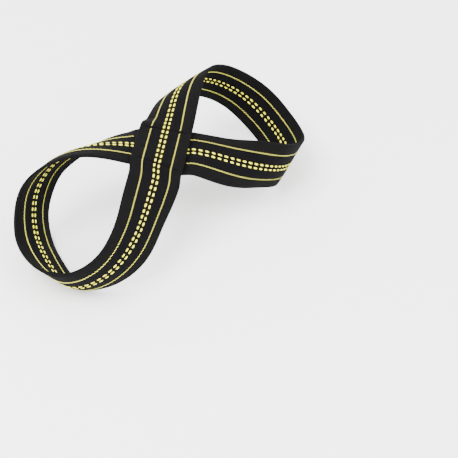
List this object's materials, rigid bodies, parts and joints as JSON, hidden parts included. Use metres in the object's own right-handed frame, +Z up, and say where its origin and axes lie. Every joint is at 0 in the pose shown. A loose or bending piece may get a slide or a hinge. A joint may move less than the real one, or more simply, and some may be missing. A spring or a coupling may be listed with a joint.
{
  "type": "figure eight lifting strap",
  "caption": "Loop of flat black webbing with a yellow woven pattern, twisted into a figure eight and sewn where it crosses, leaving an open loop for the wrist and one for the bar",
  "frame": {"origin": "middle of the strap's footprint on the floor it lies on", "axes": "+X to the right loop, +Y to the back as the picture sees it, +Z up"},
  "size_m": [0.2092, 0.2024, 0.0799],
  "materials": {
    "webbing": "matt black woven webbing",
    "yellow_yarn": "pale yellow woven floats",
    "sewing_thread": "black twisted thread"
  },
  "bodies": {
    "root": {"webbing": "webbing"}
  },
  "joints": []
}
